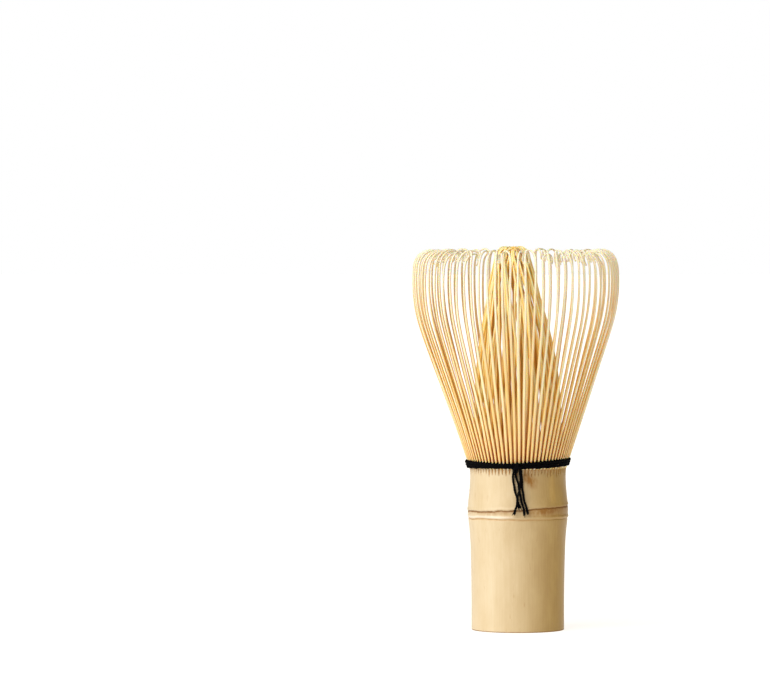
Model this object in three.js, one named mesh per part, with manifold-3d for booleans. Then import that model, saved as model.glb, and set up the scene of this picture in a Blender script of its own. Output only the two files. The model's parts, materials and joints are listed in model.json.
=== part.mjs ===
// A bamboo tea whisk, standing on its handle: 80 outer and 80 inner tines.
// Millimetres, +Z up, origin at the centre of the handle's foot, the front at -Y.
//
// The real whisk is one length of culm and one thread. Above the thread the culm's wall is
// split into 16 segments, and each segment into 5 outer and 5 inner tines. Each segment's
// outer tines, and its inner tines, are a piece of their own here, joined at the root by the
// band of wall that they grow from, because each set springs by itself.
import * as THREE from "three";
import { mergeVertices } from "three/addons/utils/BufferGeometryUtils.js";
import Module from "manifold-3d";

const wasm = await Module();
wasm.setup();

const CLEARANCE = 0.3; // between pieces that touch on the real whisk

// The splits
const SEGMENTS = 16;
const TINES_PER_SEGMENT = 5;
const SEGMENT_ANGLE = (2 * Math.PI) / SEGMENTS;
const TINE_PITCH = SEGMENT_ANGLE / TINES_PER_SEGMENT;

// The handle: a culm with one node, hollow below and above the node's diaphragm
const HANDLE_TOP = 45.1;
const FOOT_RADIUS = 13.2;
const FOOT_CHAMFER = 0.4;
const NODE_RADIUS = 14.45;
const NODE_BOTTOM = 32.1; // the ring at the node's lower edge
const NODE_TOP = 34.7; // the scar where the sheath grew
const SCAR_DEPTH = 0.3;
const SCAR_REACH = 0.3; // above and below its middle
const WAIST_RADIUS = 13.65;
const BORE_RADIUS = 9.6;
const CUP_RADIUS = 10.4;
const RIM_INNER_RADIUS = 11.2; // the wall is pared thin where the tines start
const DIAPHRAGM_BOTTOM = 31.4;
const DIAPHRAGM_TOP = 33.6;
const DIAPHRAGM_CORNER = { run: 2, rise: 1.5 }; // where it meets the wall
const CUP_TAPER = 4; // the height that the wall is pared over
const HANDLE_SIDES = 36;
// The outside from foot to rim, as [radius, height]
const HANDLE_OUTSIDE = [
  [FOOT_RADIUS - FOOT_CHAMFER, 0],
  [FOOT_RADIUS, FOOT_CHAMFER],
  [FOOT_RADIUS, 9],
  [13.6, 25],
  [14.05, 30],
  [14.35, NODE_BOTTOM],
  [NODE_RADIUS, NODE_TOP - SCAR_REACH],
  [NODE_RADIUS - SCAR_DEPTH, NODE_TOP],
  [NODE_RADIUS, NODE_TOP + SCAR_REACH],
  [14.3, 37],
  [13.95, 39.5],
  [WAIST_RADIUS, 42],
  [WAIST_RADIUS, HANDLE_TOP],
];

// The band of wall at the root of the tines
const BAND_BOTTOM = HANDLE_TOP + CLEARANCE;
const BAND_HEIGHT = 1;
const ROOT_RISE = 0.4;
const ROOT_HEIGHT = BAND_BOTTOM + ROOT_RISE;
const OUTER_BAND = { inner: 13.05, outer: 13.8 };
const INNER_BAND = { inner: 11.75, outer: 12.5 };
const BAND_ARC_STEPS = 2;

// An outer tine leans out in a straight line, turns upright, and hooks inwards at its tip
const THREAD_HEIGHT = 47.9; // the middle of the binding, and the point the tines flex from
const OUTER_THREAD_RADIUS = 14.1;
const FLARE_SLOPE = 0.326; // radius gained for each millimetre of height
const FLARE_TOP = 82;
const UPRIGHT_RADIUS = 29.35;
const HOOK_START = 103.7;
const HOOK_RADIUS = 5.2;
const TIP_RADIUS = 1.8;
const HOOK_TURN = THREE.MathUtils.degToRad(95);
const TIP_TURN = THREE.MathUtils.degToRad(200);
const BEND_STEPS = 2;
const HOOK_STEPS = 3;
const TIP_STEPS = 2;

// An inner tine rises from behind the thread and leans in to the bundle at the centre
const INNER_THREAD_RADIUS = 12.25;
const INNER_LEAN = [
  // radius, height, and how much of its layer's inset the tine has reached
  [11.7, 66, 0.25],
  [10.3, 80, 0.6],
  [7.5, 94, 0.9],
  [4.9, 106.5, 1],
  [4.3, 109.96, 1],
];
const LAYER_GAP = 1.2; // between the layers that the inner tines lie in at the top
const LAYERS = [0, 1, 2, 0, 1]; // each inner tine's layer, from the bundle's outside

// Widths are along the culm's round, and thicknesses along its radius
const OUTER_SECTION = { width: [0.8, 0.95, 0.8, 0.5], thickness: [0.6, 0.5, 0.38, 0.26] };
const INNER_SECTION = { width: [0.6, 0.6, 0.5, 0.38], thickness: [0.5, 0.45, 0.4, 0.34] };

// The thread
const THREAD_DIAMETER = 0.55;
const WRAP_HEIGHT = 0.9;
const WRAP_THICKNESS = 0.65;
const WRAP_SIDES = 32;
// Half the height from one round of thread to the next
const WRAP_RISE = WRAP_HEIGHT / 2 + CLEARANCE / 2;
const WRAP_FACE = OUTER_THREAD_RADIUS + OUTER_SECTION.thickness[0] / 2 + CLEARANCE + WRAP_THICKNESS;
const KNOT = { across: -0.55, width: 2.6, height: 1.9, depth: 1 };
const KNOT_SIDES = 10;
const KNOT_ROWS = 7;
const TAIL_STEPS = 10;
const TAIL_ARC_STEPS = 3; // for half of the thread's section

// The four ends. Each runs down through [across, height, layer]: layer 0 lies on the handle,
// and layer 1 crosses over it.
const TAILS = [
  [
    [-1.71, 46.3, 0],
    [-1.75, 45, 0],
    [-1.55, 42.8, 0],
    [-1.2, 41, 0],
    [-0.75, 39.5, 0],
    [-0.35, 37.6, 0],
    [0.15, 36, 0],
  ],
  [
    [-1.25, 46.3, 1],
    [-0.8, 44.6, 0.6],
    [-0.3, 42.9, 0],
    [0, 41.2, 0],
    [0.45, 38.9, 0],
    [0.85, 37.1, 0],
    [1.45, 33.8, 0],
  ],
  [
    [0.7, 46.3, 0],
    [0.75, 45, 0],
    [0.9, 43, 0],
    [1.15, 40.6, 0],
    [1.35, 38.9, 0],
    [1.75, 37.1, 0],
    [2.7, 34.2, 0],
  ],
  [
    [0.15, 46.3, 1],
    [0.3, 44, 1],
    [0.15, 41.9, 1],
    [-0.45, 39.2, 1],
    [-0.6, 37.7, 1],
    [-0.95, 36.2, 1],
    [-1.5, 34.1, 1],
  ],
];

const bamboo = (color, roughness) => new THREE.MeshStandardMaterial({ color, roughness });
const HANDLE_BAMBOO = bamboo(0xe6cf9d, 0.5);
const OUTER_BAMBOO = bamboo(0xeed39b, 0.5);
const INNER_BAMBOO = bamboo(0xe3b975, 0.55);
const BLACK_THREAD = new THREE.MeshStandardMaterial({ color: 0x0c0c0d, roughness: 0.85 });

/** A closed geometry as a manifold-3d solid. */
function solidOf(geometry) {
  const bare = geometry.clone();
  bare.deleteAttribute("normal");
  bare.deleteAttribute("uv");
  const merged = mergeVertices(bare, 1e-4);
  const vertProperties = merged.getAttribute("position").array;
  const triVerts = new Uint32Array(merged.index.array);
  return new wasm.Manifold(new wasm.Mesh({ numProp: 3, vertProperties, triVerts }));
}

/** The geometry of a manifold-3d solid. */
function geometryOf(solid) {
  const mesh = solid.getMesh();
  const geometry = new THREE.BufferGeometry();
  geometry.setAttribute("position", new THREE.BufferAttribute(mesh.vertProperties, 3));
  geometry.setIndex(new THREE.BufferAttribute(mesh.triVerts, 1));
  geometry.computeVertexNormals();
  return geometry;
}

/** Revolves an outline of [radius, height] points about Z. */
function revolved(outline, sides) {
  const points = outline.map(([radius, height]) => new THREE.Vector2(radius, height));
  return new THREE.LatheGeometry(points, sides).rotateX(Math.PI / 2);
}

/** The value at a share of the way through evenly spaced stops. */
function along(stops, share) {
  const at = Math.min(share, 1) * (stops.length - 1);
  const low = Math.min(Math.floor(at), stops.length - 2);
  return THREE.MathUtils.lerp(stops[low], stops[low + 1], at - low);
}

/** Points along curves that run on from one another, each given with its number of steps. */
function sampled(...runs) {
  const points = runs.flatMap(([curve, steps]) => curve.getPoints(steps).slice(1));
  return [runs[0][0].getPoint(0), ...points];
}

/** An arc of a circle in the (radius, height) plane. */
function arc(centre, radius, from, to) {
  return new THREE.EllipseCurve(centre.x, centre.y, radius, radius, from, to);
}

/** A tapering bar along points in the (radius, height) plane: a box with a ring of corners
 *  moved to each point. */
function bar(points, section) {
  const last = points.length - 1;
  const lengths = [0];
  for (let i = 1; i <= last; i++) lengths.push(lengths[i - 1] + points[i].distanceTo(points[i - 1]));
  const geometry = new THREE.BoxGeometry(1, 1, 1, 1, 1, last);
  const corners = geometry.getAttribute("position");
  for (let i = 0; i < corners.count; i++) {
    const step = Math.round((corners.getZ(i) + 0.5) * last);
    const share = lengths[step] / lengths[last];
    const before = points[Math.max(step - 1, 0)];
    const after = points[Math.min(step + 1, last)];
    const tangent = after.clone().sub(before).normalize();
    const out = corners.getX(i) * along(section.thickness, share);
    const aside = corners.getY(i) * along(section.width, share);
    const { x: radius, y: height } = points[step];
    corners.setXYZ(i, radius + tangent.y * out, aside, height - tangent.x * out);
  }
  return geometry;
}

/** The outer tine's centreline, as radius and height. */
function outerCentreline() {
  const flare = (height) =>
    new THREE.Vector2(OUTER_THREAD_RADIUS + FLARE_SLOPE * (height - THREAD_HEIGHT), height);
  const upright = new THREE.Vector2(UPRIGHT_RADIUS, HOOK_START);
  // The flare's line meets the upright's line here, so the bend leaves both of them smoothly.
  const meeting = flare(THREAD_HEIGHT + (UPRIGHT_RADIUS - OUTER_THREAD_RADIUS) / FLARE_SLOPE);
  const hook = upright.clone().sub(new THREE.Vector2(HOOK_RADIUS, 0));
  const inwards = new THREE.Vector2(Math.cos(HOOK_TURN), Math.sin(HOOK_TURN));
  const tip = hook.clone().addScaledVector(inwards, HOOK_RADIUS - TIP_RADIUS);
  return sampled(
    [new THREE.LineCurve(flare(ROOT_HEIGHT), flare(FLARE_TOP)), 1],
    [new THREE.QuadraticBezierCurve(flare(FLARE_TOP), meeting, upright), BEND_STEPS],
    [arc(hook, HOOK_RADIUS, 0, HOOK_TURN), HOOK_STEPS],
    [arc(tip, TIP_RADIUS, HOOK_TURN, TIP_TURN), TIP_STEPS],
  );
}

/** The inner tine's centreline in a layer of the bundle, as radius and height. */
function innerCentreline(layer) {
  const leaning = INNER_LEAN.map(([radius, height, inset]) => {
    return new THREE.Vector2(radius - inset * layer * LAYER_GAP, height);
  });
  return [new THREE.Vector2(INNER_THREAD_RADIUS, ROOT_HEIGHT), ...leaning];
}

/** A segment's piece of the wall, as wide as the segment less the gap to the next one. */
function rootBand({ inner, outer }) {
  const half = SEGMENT_ANGLE / 2 - CLEARANCE / 2 / outer;
  const shape = new THREE.Shape()
    .absarc(0, 0, outer, -half, half)
    .absarc(0, 0, inner, half, -half, true);
  const options = { depth: BAND_HEIGHT, bevelEnabled: false, curveSegments: BAND_ARC_STEPS };
  return new THREE.ExtrudeGeometry(shape, options).translate(0, 0, BAND_BOTTOM);
}

/** One segment's tines, joined at the root. shapes holds one tine's geometry for each place. */
function tineSet(band, shapes) {
  let solid = solidOf(rootBand(band));
  shapes.forEach((shape, place) => {
    const angle = (place - (TINES_PER_SEGMENT - 1) / 2) * TINE_PITCH;
    solid = solid.add(solidOf(shape.clone().rotateZ(angle)));
  });
  return geometryOf(solid);
}

const outerTine = bar(outerCentreline(), OUTER_SECTION);
const outerSet = tineSet(OUTER_BAND, Array(TINES_PER_SEGMENT).fill(outerTine));
const innerTines = LAYERS.map((layer) => bar(innerCentreline(layer), INNER_SECTION));
const innerSet = tineSet(INNER_BAND, innerTines);

/** The handle's radius at a height. */
function handleRadius(height) {
  const above = HANDLE_OUTSIDE.findIndex(([, z]) => z >= height);
  const [lowRadius, low] = HANDLE_OUTSIDE[above - 1];
  const [highRadius, high] = HANDLE_OUTSIDE[above];
  return THREE.MathUtils.mapLinear(height, low, high, lowRadius, highRadius);
}

function handleCulm() {
  const outline = [
    [0, DIAPHRAGM_BOTTOM],
    [BORE_RADIUS - DIAPHRAGM_CORNER.run, DIAPHRAGM_BOTTOM],
    [BORE_RADIUS, DIAPHRAGM_BOTTOM - DIAPHRAGM_CORNER.rise],
    [BORE_RADIUS, FOOT_CHAMFER],
    [BORE_RADIUS + FOOT_CHAMFER, 0],
    ...HANDLE_OUTSIDE,
    [RIM_INNER_RADIUS, HANDLE_TOP],
    [CUP_RADIUS, HANDLE_TOP - CUP_TAPER],
    [CUP_RADIUS, DIAPHRAGM_TOP + DIAPHRAGM_CORNER.rise],
    [CUP_RADIUS - DIAPHRAGM_CORNER.run, DIAPHRAGM_TOP],
    [0, DIAPHRAGM_TOP],
  ];
  return revolved(outline, HANDLE_SIDES);
}

/** A round of thread on the tines' outside, which lean out as they rise. */
function outerWrap(middle) {
  const tine = OUTER_THREAD_RADIUS + OUTER_SECTION.thickness[0] / 2 + CLEARANCE;
  const ring = (out, up) => {
    const height = middle + up * WRAP_HEIGHT;
    return [tine + FLARE_SLOPE * (height - THREAD_HEIGHT) + out * WRAP_THICKNESS, height];
  };
  const outline = [
    ring(0, -0.35),
    ring(0.5, -0.5),
    ring(1, -0.2),
    ring(1, 0.2),
    ring(0.5, 0.5),
    ring(0, 0.35),
    ring(0, -0.35),
  ];
  return revolved(outline, WRAP_SIDES);
}

/** The thread between the outer and the inner tines. */
function innerWrap() {
  const inside = INNER_THREAD_RADIUS + INNER_SECTION.thickness[0] / 2 + CLEARANCE;
  const outside = OUTER_THREAD_RADIUS - OUTER_SECTION.thickness[0] / 2 - CLEARANCE;
  const lean = FLARE_SLOPE * WRAP_HEIGHT;
  const outline = [
    [inside, THREAD_HEIGHT - WRAP_HEIGHT],
    [outside - lean, THREAD_HEIGHT - WRAP_HEIGHT],
    [outside + lean, THREAD_HEIGHT + WRAP_HEIGHT],
    [inside, THREAD_HEIGHT + WRAP_HEIGHT],
    [inside, THREAD_HEIGHT - WRAP_HEIGHT],
  ];
  return revolved(outline, WRAP_SIDES);
}

/** The knot, against the front of both rounds. */
function knot() {
  const front = WRAP_FACE + FLARE_SLOPE * WRAP_HEIGHT + CLEARANCE + KNOT.depth / 2;
  return new THREE.SphereGeometry(1 / 2, KNOT_SIDES, KNOT_ROWS)
    .rotateX(Math.PI / 2)
    .scale(KNOT.width, KNOT.depth, KNOT.height)
    .translate(KNOT.across, -front, THREAD_HEIGHT);
}

/** One of the thread's ends. */
function tail(places) {
  const layerStep = THREAD_DIAMETER + CLEARANCE;
  const points = places.map(([across, height, layer]) => {
    const off = CLEARANCE + THREAD_DIAMETER / 2 + layer * layerStep;
    const radius = handleRadius(Math.min(height, HANDLE_TOP)) + off;
    return new THREE.Vector3(across, -Math.sqrt(radius ** 2 - across ** 2), height);
  });
  const section = new THREE.Shape().absarc(0, 0, THREAD_DIAMETER / 2, 0, 2 * Math.PI);
  return new THREE.ExtrudeGeometry(section, {
    steps: TAIL_STEPS,
    curveSegments: TAIL_ARC_STEPS,
    extrudePath: new THREE.CatmullRomCurve3(points),
  });
}

const whisk = new THREE.Group();

function add(name, geometry, material, turn = 0) {
  const mesh = new THREE.Mesh(geometry, material);
  mesh.name = name;
  mesh.rotation.z = turn;
  whisk.add(mesh);
}

add("handle_culm", handleCulm(), HANDLE_BAMBOO);
for (let segment = 0; segment < SEGMENTS; segment++) {
  const number = String(segment + 1).padStart(2, "0");
  const turn = segment * SEGMENT_ANGLE;
  add(`outer_tines_${number}`, outerSet, OUTER_BAMBOO, turn);
  add(`inner_tines_${number}`, innerSet, INNER_BAMBOO, turn + TINE_PITCH / 2);
}
add("thread_lower_round", outerWrap(THREAD_HEIGHT - WRAP_RISE), BLACK_THREAD);
add("thread_upper_round", outerWrap(THREAD_HEIGHT + WRAP_RISE), BLACK_THREAD);
add("thread_inner_round", innerWrap(), BLACK_THREAD);
add("thread_knot", knot(), BLACK_THREAD);
TAILS.forEach((places, i) => add(`thread_tail_${i + 1}`, tail(places), BLACK_THREAD));

export default whisk;
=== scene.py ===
import json
import math

import bpy
import numpy as np
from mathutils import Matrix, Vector, noise

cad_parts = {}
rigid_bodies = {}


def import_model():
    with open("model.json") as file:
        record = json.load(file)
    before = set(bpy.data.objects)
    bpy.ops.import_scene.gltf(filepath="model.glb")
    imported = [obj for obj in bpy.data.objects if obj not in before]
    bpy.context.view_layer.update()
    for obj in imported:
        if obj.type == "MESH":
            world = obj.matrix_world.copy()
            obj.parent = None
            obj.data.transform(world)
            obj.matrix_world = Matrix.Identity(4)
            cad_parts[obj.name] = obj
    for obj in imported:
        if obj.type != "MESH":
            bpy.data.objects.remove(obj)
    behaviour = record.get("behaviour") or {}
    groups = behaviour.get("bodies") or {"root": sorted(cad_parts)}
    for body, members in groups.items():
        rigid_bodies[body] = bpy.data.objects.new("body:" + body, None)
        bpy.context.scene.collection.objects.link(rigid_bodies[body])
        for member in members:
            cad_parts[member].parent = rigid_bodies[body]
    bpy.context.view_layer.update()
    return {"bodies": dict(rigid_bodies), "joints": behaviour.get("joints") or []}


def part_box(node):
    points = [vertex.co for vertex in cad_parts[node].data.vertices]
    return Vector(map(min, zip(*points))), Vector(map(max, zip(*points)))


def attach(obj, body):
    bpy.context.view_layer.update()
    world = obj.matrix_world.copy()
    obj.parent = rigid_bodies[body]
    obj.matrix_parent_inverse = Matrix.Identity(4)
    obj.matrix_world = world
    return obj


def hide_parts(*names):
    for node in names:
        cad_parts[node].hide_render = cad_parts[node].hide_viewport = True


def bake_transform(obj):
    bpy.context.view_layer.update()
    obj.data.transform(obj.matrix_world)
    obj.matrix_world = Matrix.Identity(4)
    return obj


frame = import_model()

# A bamboo tea whisk. Lengths are in millimetres, like the CAD's, and become metres in make_mesh.
# Azimuths are in radians from +X towards +Y, so the front, where the thread is knotted, is at -90
# degrees.
MM = 0.001
FRONT = -math.pi / 2
SEGMENTS = sum(name.startswith("outer_set_") for name in frame["bodies"])
TINES_PER_SEGMENT = 5
TINES = SEGMENTS * TINES_PER_SEGMENT
PITCH = 2 * math.pi / TINES


def box_mm(node):
    """A CAD node's lowest and highest corner, in millimetres."""
    low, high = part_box(node)
    return np.array(low) / MM, np.array(high) / MM


# What the CAD model fixes
SPREAD = box_mm("outer_tines_01")[1][0]
OUTER_TOP = box_mm("outer_tines_01")[1][2]
BUNDLE_TOP = box_mm("inner_tines_01")[1][2]
NODE_SWELL = 1.25  # how far the node stands out past the foot
FOOT_RADIUS = box_mm("handle_culm")[1][0] - NODE_SWELL
HINGE = next(j for j in frame["joints"] if j["name"] == "outer_flex_01")["pos_m"]
OUTER_ROOT_RADIUS = HINGE[0] / MM
THREAD_HEIGHT = HINGE[2] / MM
INNER_HINGE = next(j for j in frame["joints"] if j["name"] == "inner_flex_01")["pos_m"]
INNER_ROOT_RADIUS = math.hypot(INNER_HINGE[0], INNER_HINGE[1]) / MM


def smooth_step(low, high, value):
    """0 at low and past it, 1 at high and past it, and an even S between them. Where low is the
    larger of the two, it falls as the value grows."""
    share = np.clip((np.asarray(value, float) - low) / (high - low), 0, 1)
    return share * share * (3 - 2 * share)


def bump(value, centre, width):
    """1 at the centre, falling away to each side over the width."""
    return np.exp(-(((value - centre) / width) ** 2))


def from_front(azimuth):
    """An azimuth's angle from the front, between minus and plus half a turn."""
    return (azimuth - FRONT + math.pi) % (2 * math.pi) - math.pi


def wander(seed, places, reach):
    """A slow, smooth drift between -reach and reach at each place."""
    apart = 7.31 * seed  # so that each seed reads another part of the noise
    return np.array([reach * noise.noise(Vector((float(p), apart, 0.5))) for p in places])


# ---------------------------------------------------------------------------------------------
# Meshes


class Shell:
    """Gathers closed surfaces, with a value for each vertex that the materials read."""

    def __init__(self):
        self.points = []
        self.faces = []
        self.values = {}
        self.count = 0

    def add(self, points, faces, **values):
        """values are arrays with a row for each point: one number or three in a row."""
        self.faces += [tuple(i + self.count for i in face) for face in faces]
        self.points.append(points)
        for name, rows in values.items():
            self.values.setdefault(name, []).append(np.asarray(rows, np.float32))
        self.count += len(points)


def make_mesh(name, shell, sharp_angle=None):
    """The shell as a Blender object, in metres, shaded smooth but for edges over sharp_angle."""
    mesh = bpy.data.meshes.new(name)
    mesh.from_pydata((np.concatenate(shell.points) * MM).tolist(), [], shell.faces)
    for key, parts in shell.values.items():
        rows = np.concatenate(parts)
        kind = "FLOAT_VECTOR" if rows.ndim == 2 else "FLOAT"
        attribute = mesh.attributes.new(key, kind, "POINT")
        attribute.data.foreach_set("vector" if rows.ndim == 2 else "value", rows.ravel())
    mesh.polygons.foreach_set("use_smooth", [True] * len(mesh.polygons))
    if sharp_angle:
        mesh.set_sharp_from_angle(angle=math.radians(sharp_angle))
    mesh.update()
    piece = bpy.data.objects.new(name, mesh)
    bpy.context.scene.collection.objects.link(piece)
    return piece


def tube_faces(rings, sides):
    """Quads along a tube of rings, and a cap at each end."""
    faces = []
    for ring in range(rings - 1):
        for side in range(sides):
            here = ring * sides + side
            beside = ring * sides + (side + 1) % sides
            faces.append((here, beside, beside + sides, here + sides))
    faces.append(tuple(reversed(range(sides))))
    faces.append(tuple(range((rings - 1) * sides, rings * sides)))
    return faces


def tangents(line):
    """Unit directions along a line of points."""
    step = np.gradient(line, axis=0)
    return step / np.linalg.norm(step, axis=1, keepdims=True)


def lengths(line):
    """How far along the line each point is."""
    steps = np.linalg.norm(np.diff(line, axis=0), axis=1)
    return np.concatenate([[0], np.cumsum(steps)])


# ---------------------------------------------------------------------------------------------
# Tines

# A tine's section, across its width and its thickness: round outside, flat sided, flat inside
SECTION = np.array([
    (-0.5, -0.28), (-0.4, -0.5), (0.4, -0.5), (0.5, -0.28), (0.5, 0.02), (0.44, 0.2), (0.32, 0.37),
    (0.16, 0.47), (0, 0.5), (-0.16, 0.47), (-0.32, 0.37), (-0.44, 0.2), (-0.5, 0.02),
])


def add_tine(shell, line, sideways, width, thickness, tone, offset):
    """Sweeps the section along the line. sideways is each point's direction across the tine, and
    tone and offset make its colour and grain its own."""
    along = tangents(line)
    across = sideways - np.sum(sideways * along, axis=1, keepdims=True) * along
    across /= np.linalg.norm(across, axis=1, keepdims=True)
    outward = np.cross(across, along)
    corners = SECTION[None, :, :]
    points = (
        line[:, None, :]
        + across[:, None, :] * (corners[..., 0:1] * width[:, None, None])
        + outward[:, None, :] * (corners[..., 1:2] * thickness[:, None, None])
    )
    rings, sides = points.shape[:2]
    grain = np.zeros((rings, sides, 3))
    grain[..., 0] = corners[..., 0] * width[:, None] + offset
    grain[..., 1] = corners[..., 1] * thickness[:, None]
    grain[..., 2] = lengths(line)[:, None]
    skin = np.tile(smooth_step(-0.4, -0.2, SECTION[:, 1]), rings)
    side = np.tile(smooth_step(0.3, 0.5, np.abs(SECTION[:, 0])), rings)
    shell.add(
        points.reshape(-1, 3),
        tube_faces(rings, sides),
        grain=grain.reshape(-1, 3),
        tone=np.full(rings * sides, tone),
        skin=skin,
        side=side,
        reach=np.repeat(lengths(line) / lengths(line)[-1], sides),
    )


def turned(azimuth, radial, lateral, height):
    """Points at a distance out and to the side of the plane through the axis at an azimuth."""
    out = np.array([math.cos(azimuth), math.sin(azimuth), 0])
    side = np.array([-math.sin(azimuth), math.cos(azimuth), 0])
    points = np.outer(radial, out) + np.outer(lateral, side)
    points[:, 2] = height
    return points


# How far an outer tine leans out from upright, in degrees, at each distance along it from the
# thread: a straight flare, a slow turn to upright, then the hook, which tightens to its tip
LEAN = np.array([
    (-1.4, 17.5), (0, 18), (41, 18), (54, 2), (59, -4), (61, -20), (67, -92), (71, -222),
])
OUTER_WIDTH = np.array([(-1.4, 0.8), (0, 0.6), (1.5, 0.64), (3.5, 0.78), (8, 0.86), (14, 0.88),
                        (34, 0.88), (48, 0.69), (56, 0.6), (63, 0.57), (71, 0.52)])
OUTER_THICKNESS = np.array([(-1.4, 0.6), (0, 0.58), (10, 0.54), (34, 0.5), (55, 0.5), (63, 0.5),
                            (71, 0.42)])
FLARE_END = 41
UPRIGHT_FROM = 50  # from here a tine's own place at its top holds in full
HOOK_FROM = 59
HOOKED_FROM = HOOK_FROM - 4
SWING_FROM = HOOK_FROM - 2
SPREAD_INSET = 0.2  # of the mean tine from the CAD's spread
LEAST_INSET = 0.12
TOP_INSET = 0.1
WAVE_LENGTH = 9  # for each radian of a tine's own sideways wave
FLARE_RINGS = 18
TURN_RINGS = 16
HOOK_RINGS = 50
SMOOTHING = 5  # neighbouring rings whose leans are averaged
CAGE_SHIFT = -0.65  # the tops of all outer tines, to the left

# How far one tine departs from the plan, as standard deviations
FLARE_STRAY = 0.35  # degrees
HOOK_PLACE_STRAY = 0.5
HOOK_TIGHT_STRAY = 0.35
TIP_TURN_STRAY = 16  # degrees
SPREAD_STRAY = 0.22
TOP_STRAY = 0.5
SWING_STRAY = 16  # degrees, for the hook
SIDE_STRAY = 0.16  # at the top
WAVE_STRAY = 0.1
OUTER_WIDTH_STRAY = 0.05
GRAIN_SPAN = 20  # over which each tine's grain is placed


def outer_tine(shell, azimuth, draw):
    """One outer tine. draw gives its own small departures from the plan."""
    along = np.concatenate([
        np.linspace(LEAN[0, 0], FLARE_END, FLARE_RINGS, endpoint=False),
        np.linspace(FLARE_END, HOOK_FROM, TURN_RINGS, endpoint=False),
        np.linspace(HOOK_FROM, LEAN[-1, 0], HOOK_RINGS),
    ])
    lean_table = LEAN.copy()
    lean_table[1:3, 1] += draw.normal(0, FLARE_STRAY)
    lean_table[4:, 0] += draw.normal(0, HOOK_PLACE_STRAY)
    lean_table[6:, 0] += draw.normal(0, HOOK_TIGHT_STRAY)
    lean_table[-1, 1] += draw.normal(0, TIP_TURN_STRAY)
    lean = np.radians(np.interp(along, lean_table[:, 0], lean_table[:, 1]))
    padded = np.pad(lean, SMOOTHING // 2, mode="edge")
    lean = np.convolve(padded, np.ones(SMOOTHING) / SMOOTHING, mode="valid")
    step = np.diff(along, prepend=along[0])
    radial = OUTER_ROOT_RADIUS + np.cumsum(np.sin(lean) * step)
    height = THREAD_HEIGHT + np.cumsum(np.cos(lean) * step)
    start = np.interp(0, along, np.arange(len(along)))
    radial -= np.interp(start, np.arange(len(along)), radial) - OUTER_ROOT_RADIUS
    height -= np.interp(start, np.arange(len(along)), height) - THREAD_HEIGHT
    # The whole tine is drawn to the spread and the height that it's trimmed to.
    share = smooth_step(0, UPRIGHT_FROM, along)
    thickness = np.interp(along, OUTER_THICKNESS[:, 0], OUTER_THICKNESS[:, 1])
    spread = SPREAD - SPREAD_INSET + draw.normal(0, SPREAD_STRAY)
    radial += (min(spread, SPREAD - LEAST_INSET) - radial.max()) * share
    top = OUTER_TOP - TOP_INSET - abs(draw.normal(0, TOP_STRAY))
    height += (top - height.max()) * share
    # Past the upright, the hook swings to one side, and the most at its tip.
    swing = draw.normal(0, math.radians(SWING_STRAY)) * smooth_step(SWING_FROM, LEAN[-1, 0], along)
    hooked = np.where(along > HOOKED_FROM, radial.max() - radial, 0)
    radial = np.where(along > HOOKED_FROM, radial.max() - hooked * np.cos(swing), radial)
    drift = draw.normal(0, SIDE_STRAY) * share
    drift += draw.normal(0, WAVE_STRAY) * np.sin(along / WAVE_LENGTH)
    lateral = hooked * np.sin(swing) + drift * smooth_step(2, 12, along)
    line = turned(azimuth, radial, lateral, height)
    line[:, 0] += CAGE_SHIFT * share
    twist = azimuth + math.pi / 2 + swing
    sideways = np.stack([np.cos(twist), np.sin(twist), 0 * twist], axis=1)
    width = np.interp(along, OUTER_WIDTH[:, 0], OUTER_WIDTH[:, 1])
    width = width * draw.normal(1, OUTER_WIDTH_STRAY)
    add_tine(shell, line, sideways, width, thickness, draw.random(), GRAIN_SPAN * draw.random())


# Where the inner tines end in the bundle: rings of them about the axis, from the outermost. A
# segment's five go to these rings in turn, so that the rings fill evenly.
BUNDLE_RINGS = np.array([4.95, 4.0, 2.9, 1.5])
RING_OF_PLACE = [(0, 1, 0, 2, 1), (0, 2, 1, 0, 3), (0, 1, 0, 2, 0), (1, 0, 3, 1, 2)]
BUNDLE_SHIFT = -1.7  # the bundle's top, to the left
SHIFT_FROM = THREAD_HEIGHT + 18
SHIFT_TO = BUNDLE_TOP + 6
INNER_WIDTH = np.array([(0, 0.72), (0.25, 0.78), (0.6, 0.74), (0.9, 0.6), (1, 0.46)])
INNER_THICKNESS = np.array([(0, 0.6), (0.5, 0.6), (0.9, 0.6), (1, 0.42)])
INNER_LEAN = 2.35  # the power of the height by which they lean in
INNER_FOOT = 3  # how far below the thread they start
INNER_RINGS = 48
TIP_RINGS = 12
TIP_BEND = np.array([2.6, 2.2, 1.7, 1.3])  # the radius that a tip turns over, for each ring
TIP_TURN = (75, 115)  # degrees
INNER_TOP_INSET = 0.35  # of the outermost ring's tops from the CAD's, and more for each ring
INNER_TOP_INSET_PER_RING = 0.05

# How far to one side they lean, in degrees, and how far each departs from the plan
LEAN_ASIDE = 17
LEAN_ASIDE_PER_RING = 9
LEAN_ASIDE_STRAY = 11
RING_STRAY = 0.22
INNER_TOP_STRAY = 0.3
BOW_STRAY = 0.45
TIP_SWING_STRAY = 0.5  # radians
TWIST_STRAY = 0.35  # radians
INNER_WIDTH_STRAY = 0.08


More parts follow.
